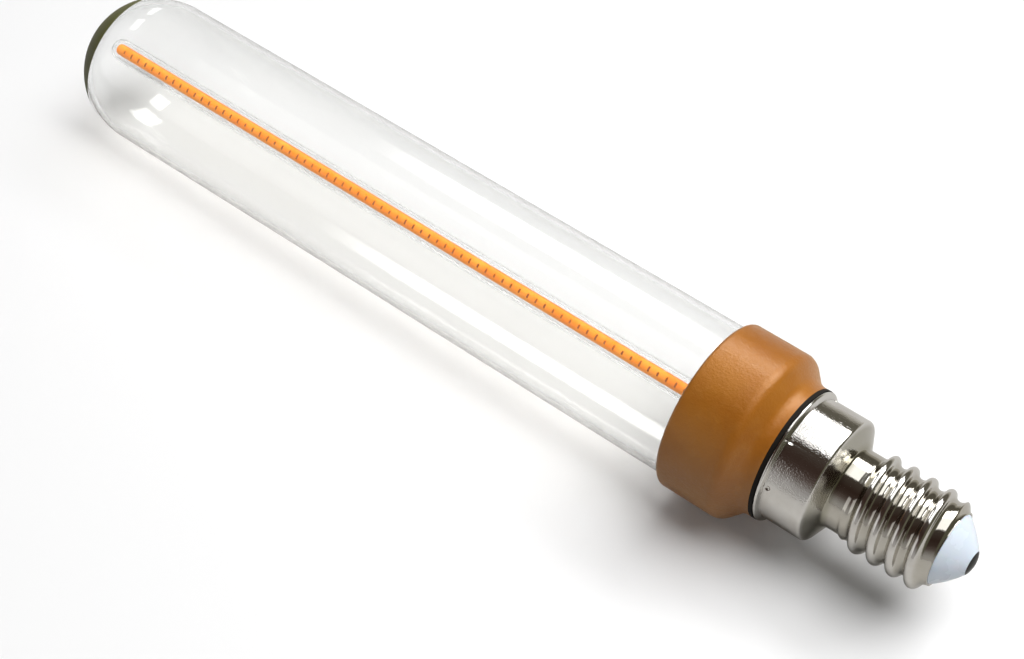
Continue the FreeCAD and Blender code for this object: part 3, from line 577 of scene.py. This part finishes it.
def brown_moulding():
    """Matte caramel moulding with a fine leathery grain."""
    look = Finish("brown_moulding")
    grain = look.noise(look.place, 2600.0, detail=4.0, roughness=0.65)
    patches = look.noise(look.place, 90.0, detail=3.0)
    wear = look.noise(look.place, 420.0, detail=4.0, roughness=0.7)
    colour = look.mix(look.fit(patches, 0.3, 0.7), (0.32, 0.103, 0.007), (0.38, 0.139, 0.014))
    colour = look.mix(look.fit(wear, 0.45, 0.8, 0.0, 0.3), colour, (0.42, 0.18, 0.04))
    look.set(Base_Color=colour, Specular_IOR_Level=0.85, Specular_Tint=(1.0, 0.84, 0.64))
    look.set(Roughness=look.fit(grain, 0.3, 0.7, 0.29, 0.41))
    look.set(Sheen_Weight=0.3, Sheen_Roughness=0.4, Sheen_Tint=(1.0, 0.85, 0.6))
    height = look.math("ADD", grain, look.product(wear, 1.5))
    look.set(Normal=look.bump(height, COLLAR_BUMP))
    return look.material


def black_gasket():
    """Matte black rubber."""
    look = Finish("black_gasket")
    grain = look.noise(look.place, 1800.0, detail=3.0)
    look.set(Base_Color=look.mix(grain, (0.006, 0.005, 0.004), (0.012, 0.01, 0.008)))
    look.set(Roughness=0.7, Specular_IOR_Level=0.2)
    look.set(Normal=look.bump(grain, 0.02 * MM))
    return look.material


def nickel():
    """Bright nickel plate: a leathery grain on the wavy skirt, and a smoother thread."""
    look = Finish("nickel")
    ripple = look.noise(look.place, 300.0, detail=2.0)
    grain = look.noise(look.place, 5200.0, detail=1.0)
    tarnish = look.noise(look.place, 210.0, detail=4.0, roughness=0.6)
    # Darker towards the thread's roots: partly tarnish, partly painted shade of the roots.
    hollow = look.fit(look.radius(), ROOT_RADIUS, CREST_RADIUS, 1.0, 0.0)
    plate = look.mix(look.fit(tarnish, 0.35, 0.75), (0.78, 0.765, 0.74), (0.68, 0.655, 0.62))
    plate = look.mix(look.product(hollow, 0.5), plate, (0.40, 0.37, 0.29))
    x = look.parts(look.place)[0]
    # Painted shade: the fold between the skirt's shoulder and the neck is darkened.
    shoulder = look.product(look.fit(x, SKIRT_LENGTH, SKIRT_LENGTH + SHOULDER_SHADE_RISE),
                            look.fit(x, FOOT_X, FOOT_X + SHOULDER_SHADE_FADE, 0.6, 0.0))
    plate = look.mix(shoulder, plate, (0.30, 0.285, 0.21))
    # Painted shade: an occlusion node darkens the colour in creases, dimples and the thread's
    # roots.
    crease_shade = look.node("ShaderNodeAmbientOcclusion", samples=6, only_local=True)
    unshaded_share = look.fit(look.give(crease_shade, Distance=CREASE_SHADE_REACH).outputs["AO"], 0.45, 0.9)
    look.set(Base_Color=look.mix(unshaded_share, (0.10, 0.092, 0.075), plate))
    look.set(Metallic=1.0, Roughness=look.fit(tarnish, 0.3, 0.75, 0.06, 0.11))
    height = look.math("ADD", look.product(ripple, 5.0), look.product(grain, 3.2))
    rough_share = look.fit(x, SKIRT_LENGTH, FOOT_X, 1.0, THREAD_BUMP_SHARE)
    look.set(Normal=look.bump(height, PLATE_BUMP, rough_share))
    return look.material


def pale_insulator():
    """Smooth, pale bluish moulding that lets a little light in, with a faint painted glow that
    brightens it.
    """
    look = Finish("pale_insulator")
    cloud = look.noise(look.place, 260.0, detail=3.0)
    look.set(Base_Color=look.mix(cloud, (0.68, 0.76, 0.86), (0.75, 0.82, 0.90)))
    look.set(Roughness=look.fit(cloud, 0.3, 0.7, 0.18, 0.3), Subsurface_Weight=0.15)
    look.set(Subsurface_Scale=1.0 * MM, Coat_Weight=0.3)
    # Painted light: a faint bluish glow brightens the moulding.
    look.set(Emission_Color=(0.80, 0.90, 1.0), Emission_Strength=0.05)
    look.set(Normal=look.bump(cloud, 0.03 * MM))
    return look.material


def chip_ticks(look, x, across, up):
    """1 on a short tick over each chip, on the gel's upper side."""
    turns = look.math("DIVIDE", look.math("SUBTRACT", x, CHIPS_LOW.x + CHIP_WIDTH / 2), CHIP_PITCH)
    phase = look.math("ABSOLUTE", look.math("SUBTRACT", turns, look.math("ROUND", turns)))
    uneven = look.noise(look.scaled((700.0, 0.0, 0.0)), 1.0)
    past_end = look.math("SUBTRACT", look.math("ABSOLUTE", look.math("ADD", across, TICK_OFFSET)),
                         look.fit(uneven, 0.3, 0.7, *TICK_REACH))
    return look.product(
        look.fit(phase, *TICK_PHASE, 1.0, 0.0),
        look.fit(past_end, -TICK_EDGE, TICK_EDGE, 1.0, 0.0),
        look.math("GREATER_THAN", up, 0.0),
        look.math("GREATER_THAN", x, CHIPS_LOW.x - CHIP_PITCH / 2),
    )


def phosphor_gel():
    """Orange gel with a painted glow: a red line along its upper edge, and the light chips as
    short dark ticks.
    """
    look = Finish("phosphor_gel")
    x, y, z = look.parts(look.place)
    cos, sin = math.cos(FILAMENT_ROLL), math.sin(FILAMENT_ROLL)
    across = look.math("ADD", look.product(y, cos), look.product(z, sin))
    up = look.math("SUBTRACT", look.product(z, cos), look.product(y, sin))
    wobble = look.noise(look.place, 420.0, detail=3.0)
    tick = look.product(chip_ticks(look, x, across, up), look.fit(wobble, 0.3, 0.7, 0.75, 1.0))
    upper = look.fit(across, *GEL_UPPER_EDGE)
    lower = look.fit(across, *GEL_LOWER_EDGE, 1.0, 0.0)
    body = look.mix(look.fit(wobble, 0.35, 0.7), (1.0, 0.25, 0.008), (1.0, 0.33, 0.025))
    body = look.mix(look.product(upper, 0.85), body, (0.60, 0.06, 0.008))
    body = look.mix(look.product(lower, 0.5), body, (1.0, 0.46, 0.14))
    look.set(Base_Color=look.mix(tick, body, (0.20, 0.020, 0.002)))
    look.set(Roughness=look.fit(wobble, 0.3, 0.7, 0.3, 0.45))
    look.set(Specular_IOR_Level=look.fit(tick, 0.0, 1.0, 0.12, 0.0))
    # Painted light: the gel glows faintly orange to look brighter, and less so on the ticks.
    look.set(Emission_Color=(1.0, 0.33, 0.02))
    look.set(Emission_Strength=look.fit(tick, 0.0, 1.0, 0.22, 0.04))
    look.set(Normal=look.bump(wobble, 0.04 * MM))
    look.lets_light_by((1.0, 0.42, 0.18))
    return look.material


def metal(name, dark, light, roughness, thin=0.0):
    """A plain metal with a little tarnish. A share of the lamps' light passes a thin piece."""
    look = Finish(name)
    tarnish = look.noise(look.place, 700.0, detail=4.0)
    look.set(Base_Color=look.mix(tarnish, dark, light), Metallic=1.0)
    look.set(Roughness=look.fit(tarnish, 0.3, 0.7, roughness - 0.06, roughness + 0.08))
    look.set(Normal=look.bump(tarnish, 0.01 * MM))
    if thin:
        look.lets_light_by(WHITE, thin)
    return look.material


def moulded(name, dark, light, roughness=0.5):
    """A plain moulded or ceramic finish with a fine grain."""
    look = Finish(name)
    grain = look.noise(look.place, 1500.0, detail=3.0)
    look.set(Base_Color=look.mix(grain, dark, light))
    look.set(Roughness=look.fit(grain, 0.3, 0.7, roughness - 0.08, roughness + 0.08))
    look.set(Normal=look.bump(grain, 0.02 * MM))
    return look.material


def make_finishes():
    """One material for each of the record's slots."""
    return {
        "clear_glass": clear_glass(),
        "olive_metal": olive_metal(),
        "brown_moulding": brown_moulding(),
        "black_gasket": black_gasket(),
        "nickel": nickel(),
        "pale_insulator": pale_insulator(),
        "phosphor_gel": phosphor_gel(),
        "dark_contact": metal("dark_contact", (0.025, 0.024, 0.022), (0.06, 0.058, 0.055), 0.4),
        "solder": metal("solder", (0.5, 0.5, 0.52), (0.7, 0.7, 0.72), 0.35),
        "strip_metal": metal("strip_metal", (0.55, 0.45, 0.33), (0.66, 0.56, 0.42), 0.4, 0.9),
        "tab_metal": metal("tab_metal", (0.50, 0.33, 0.17), (0.66, 0.48, 0.28), 0.4),
        "wire_metal": metal("wire_metal", (0.42, 0.41, 0.4), (0.6, 0.59, 0.58), 0.3, 0.9),
        "can_metal": metal("can_metal", (0.6, 0.61, 0.63), (0.75, 0.76, 0.78), 0.3),
        "light_chip": moulded("light_chip", (0.12, 0.04, 0.015), (0.2, 0.07, 0.03), 0.3),
        "cement": moulded("cement", (0.6, 0.56, 0.48), (0.75, 0.71, 0.62), 0.8),
        "liner_plastic": moulded("liner_plastic", (0.75, 0.75, 0.72), (0.85, 0.85, 0.82)),
        "board": moulded("board", (0.02, 0.13, 0.05), (0.04, 0.2, 0.08), 0.4),
        "black_moulding": moulded("black_moulding", (0.012, 0.012, 0.012), (0.03, 0.03, 0.03)),
        "resistor_body": moulded("resistor_body", (0.09, 0.14, 0.2), (0.13, 0.2, 0.27), 0.4),
    }


def dress_pieces(smooth_pieces):
    """Give each piece the finish of its slot."""
    finishes = make_finishes()
    for subpart in frame["record"]["subparts"]:
        piece = frame["nodes"][subpart["node"]]
        piece.data.materials.clear()
        piece.data.materials.append(finishes[subpart["material_slot"]])
    for piece in smooth_pieces:
        piece.data.materials.append(finishes[piece["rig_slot"]])


# Floor, world and lamps

FLOOR_LOW = (-0.45, -0.40)
FLOOR_HIGH = (0.16, 0.13)
FLOOR_TILT = math.atan((LAMP_RADIUS - GLASS_RADIUS) / (COLLAR_LOW.x - DOME_CENTRE_X))
FLOOR_COLOUR = (0.86, 0.86, 0.86)
FLOOR_BOUNCE = (0.50, 0.50, 0.50)
FLOOR_MIRRORED = (0.52, 0.51, 0.49)
FLOOR_GLOW = 0.04

# What bright surfaces mirror, by the direction's angle about the lamp's axis: +Y is 0, up is 90
PLAIN_LIGHT = 0.12
SKY_START = -90.0
SKY_STOPS = (
    (-90, (0.30, 0.29, 0.27)),
    (-8, (0.55, 0.53, 0.48)),
    (2, (0.38, 0.36, 0.31)),
    (8, (0.13, 0.12, 0.095)),
    (34, (0.13, 0.12, 0.095)),
    (45, (0.20, 0.195, 0.18)),
    (92, (0.20, 0.195, 0.18)),
    (98, (0.07, 0.057, 0.047)),
    (125, (0.040, 0.024, 0.018)),
    (140, (0.055, 0.037, 0.030)),
    (152, (0.12, 0.095, 0.085)),
    (162, (0.26, 0.245, 0.235)),
    (172, (0.38, 0.37, 0.36)),
    (200, (0.52, 0.51, 0.49)),
    (269, (0.30, 0.29, 0.27)),
)
# White windows: angles about the axis, the direction's x from and to, glow.
# The second list is for what the tube's far wall mirrors, seen through its near wall.
WINDOWS = (
    (28, 54, -0.47, -0.33, 6.0),
    (36, 60, -0.33, 0.45, 6.0),
    (58, 95, -0.31, 0.45, 1.6),
    (60, 86, -0.76, -0.64, 5.0),
    (22, 46, -0.72, -0.64, 5.0),
    (142, 215, -0.90, -0.33, 0.45),
)
FAR_WINDOWS = (
    (28, 54, -0.46, -0.28, 6.0),
    (28, 58, -0.28, 0.12, 6.0),
    (69, 92, -0.16, 0.26, 6.0),
    (142, 215, -0.90, -0.33, 0.3),
)
# Their soft edges, in degrees about the axis and along the direction's x
WINDOW_EDGE = 2.0
WINDOW_END_EDGE = 0.03
# A darker part of the sky, by the direction's x and its height
END_SHADE = (0.12, 0.115, 0.08)
END_SHADE_X = (0.55, 0.75)
END_SHADE_UP = (0.0, 0.1)

LAMP_TARGET = Vector((-0.05, 0.0, 0.0))
LAMP_LEAN = math.radians(17.0)
TOP_ANGLE = math.radians(81.0)
TOP_DISTANCE = 0.8
TOP_SIZE = (0.6, 0.55)
TOP_POWER = 5.75
SIDE_ANGLE = math.radians(52.0)
SIDE_DISTANCE = 0.88
SIDE_SIZE = (0.6, 0.2)
SIDE_POWER = 3.6


def make_floor():
    """The table's top, tilted a little so that both the collar and the glass touch it."""
    mesh = bpy.data.meshes.new("Floor")
    (low_x, low_y), (high_x, high_y) = FLOOR_LOW, FLOOR_HIGH
    corners = [(low_x, low_y, 0), (high_x, low_y, 0), (high_x, high_y, 0), (low_x, high_y, 0)]
    mesh.from_pydata(corners, [], [(0, 1, 2, 3)])
    floor = bpy.data.objects.new("Floor", mesh)
    floor.location = (COLLAR_LOW.x, 0, -LAMP_RADIUS)
    floor.rotation_euler = (0, FLOOR_TILT, 0)
    bpy.context.scene.collection.objects.link(floor)
    look = Finish("floor")
    mirrored = look.mirrored()
    colour = look.mix(look.rays()["Is Diffuse Ray"], FLOOR_COLOUR, FLOOR_BOUNCE)
    colour = look.mix(mirrored, colour, FLOOR_MIRRORED)
    look.set(Base_Color=colour, Roughness=1.0, Specular_IOR_Level=0.0)
    glowing = look.math("SUBTRACT", look.seen_directly(), mirrored)
    look.set(Emission_Color=WHITE, Emission_Strength=look.product(glowing, FLOOR_GLOW))
    mesh.materials.append(look.material)


def share_of_turn(degrees):
    """An angle about the lamp's axis as a share of a turn from the sky's first colour."""
    return (degrees - SKY_START) / 360


def sky_colour(look, share, along, up):
    """The studio's dark and bright sides, with one shade beyond the cap's end."""
    ramp = look.node("ShaderNodeValToRGB")
    stops = ramp.color_ramp.elements
    stops.remove(stops[1])
    for number, (degrees, colour) in enumerate(SKY_STOPS):
        place = share_of_turn(degrees)
        stop = stops.new(place) if number else stops[0]
        stop.position = place
        stop.color = (*colour, 1.0)
    look.put(ramp.inputs[0], share)
    beyond_cap = look.product(look.fit(along, *END_SHADE_X), look.fit(up, *END_SHADE_UP))
    return look.mix(beyond_cap, ramp.outputs[0], END_SHADE)


def window_glow(look, windows, share, along):
    """The glow of white windows, each between its angles and its two ends."""
    glow = 0.0
    for low, high, start, end, strength in windows:
        around = look.between(share, share_of_turn(low), share_of_turn(high), WINDOW_EDGE / 360)
        lengthwise = look.between(along, start, end, WINDOW_END_EDGE)
        glow = look.math("MAXIMUM", glow, look.product(around, lengthwise, strength))
    return glow


def make_world():
    """White behind all, a plain light on it, and a studio with dark and bright sides to mirror."""
    world = bpy.data.worlds.new("Studio")
    world.use_nodes = True
    world.node_tree.nodes.clear()
    bpy.context.scene.world = world
    look = Nodes(world.node_tree)
    along, across, up = look.parts(look.node("ShaderNodeTexCoord").outputs["Generated"])
    turn = look.math("DIVIDE", look.math("ARCTAN2", up, across), math.tau)
    share = look.math("FRACT", look.math("ADD", turn, share_of_turn(0)))
    mirrored = look.mirrored()
    near_glow = look.product(window_glow(look, WINDOWS, share, along), mirrored)
    far_glow = look.product(window_glow(look, FAR_WINDOWS, share, along),
                            look.rays()["Is Transmission Ray"])

    plain = look.wired("ShaderNodeBackground", WHITE, PLAIN_LIGHT)
    white = look.wired("ShaderNodeBackground", WHITE, 1.0)
    sky = look.wired("ShaderNodeBackground", sky_colour(look, share, along, up), 1.0)
    glow = look.wired("ShaderNodeBackground", WHITE, look.math("ADD", near_glow, far_glow))
    studio = look.wired("ShaderNodeMixShader", look.seen_directly(), plain, white)
    studio = look.wired("ShaderNodeMixShader", mirrored, studio, sky)
    studio = look.wired("ShaderNodeAddShader", studio, glow)
    look.put(look.node("ShaderNodeOutputWorld").inputs[0], studio)


def make_lamp(name, angle, distance, size, power):
    """A soft lamp over the bulb, at an angle from +Y towards +Z and leaning to its cap's side."""
    data = bpy.data.lights.new(name, "AREA")
    data.shape = "RECTANGLE"
    data.size, data.size_y = size
    data.energy = power
    lamp = bpy.data.objects.new(name, data)
    away = Vector((math.tan(LAMP_LEAN), math.cos(angle), math.sin(angle))).normalized()
    across = away.cross(Vector((1, 0, 0))).normalized()
    axes = Matrix((across.cross(away), across, away)).transposed()
    lamp.matrix_world = Matrix.Translation(LAMP_TARGET + away * distance) @ axes.to_4x4()
    lamp.visible_camera = False
    lamp.visible_glossy = False
    lamp.visible_transmission = False
    bpy.context.scene.collection.objects.link(lamp)


def make_lamps():
    make_lamp("TopLamp", TOP_ANGLE, TOP_DISTANCE, TOP_SIZE, TOP_POWER)
    make_lamp("SideLamp", SIDE_ANGLE, SIDE_DISTANCE, SIDE_SIZE, SIDE_POWER)


bpy.context.scene.view_settings.view_transform = "Standard"
make_camera()
dress_pieces(make_smooth_pieces())
make_floor()
make_world()
make_lamps()
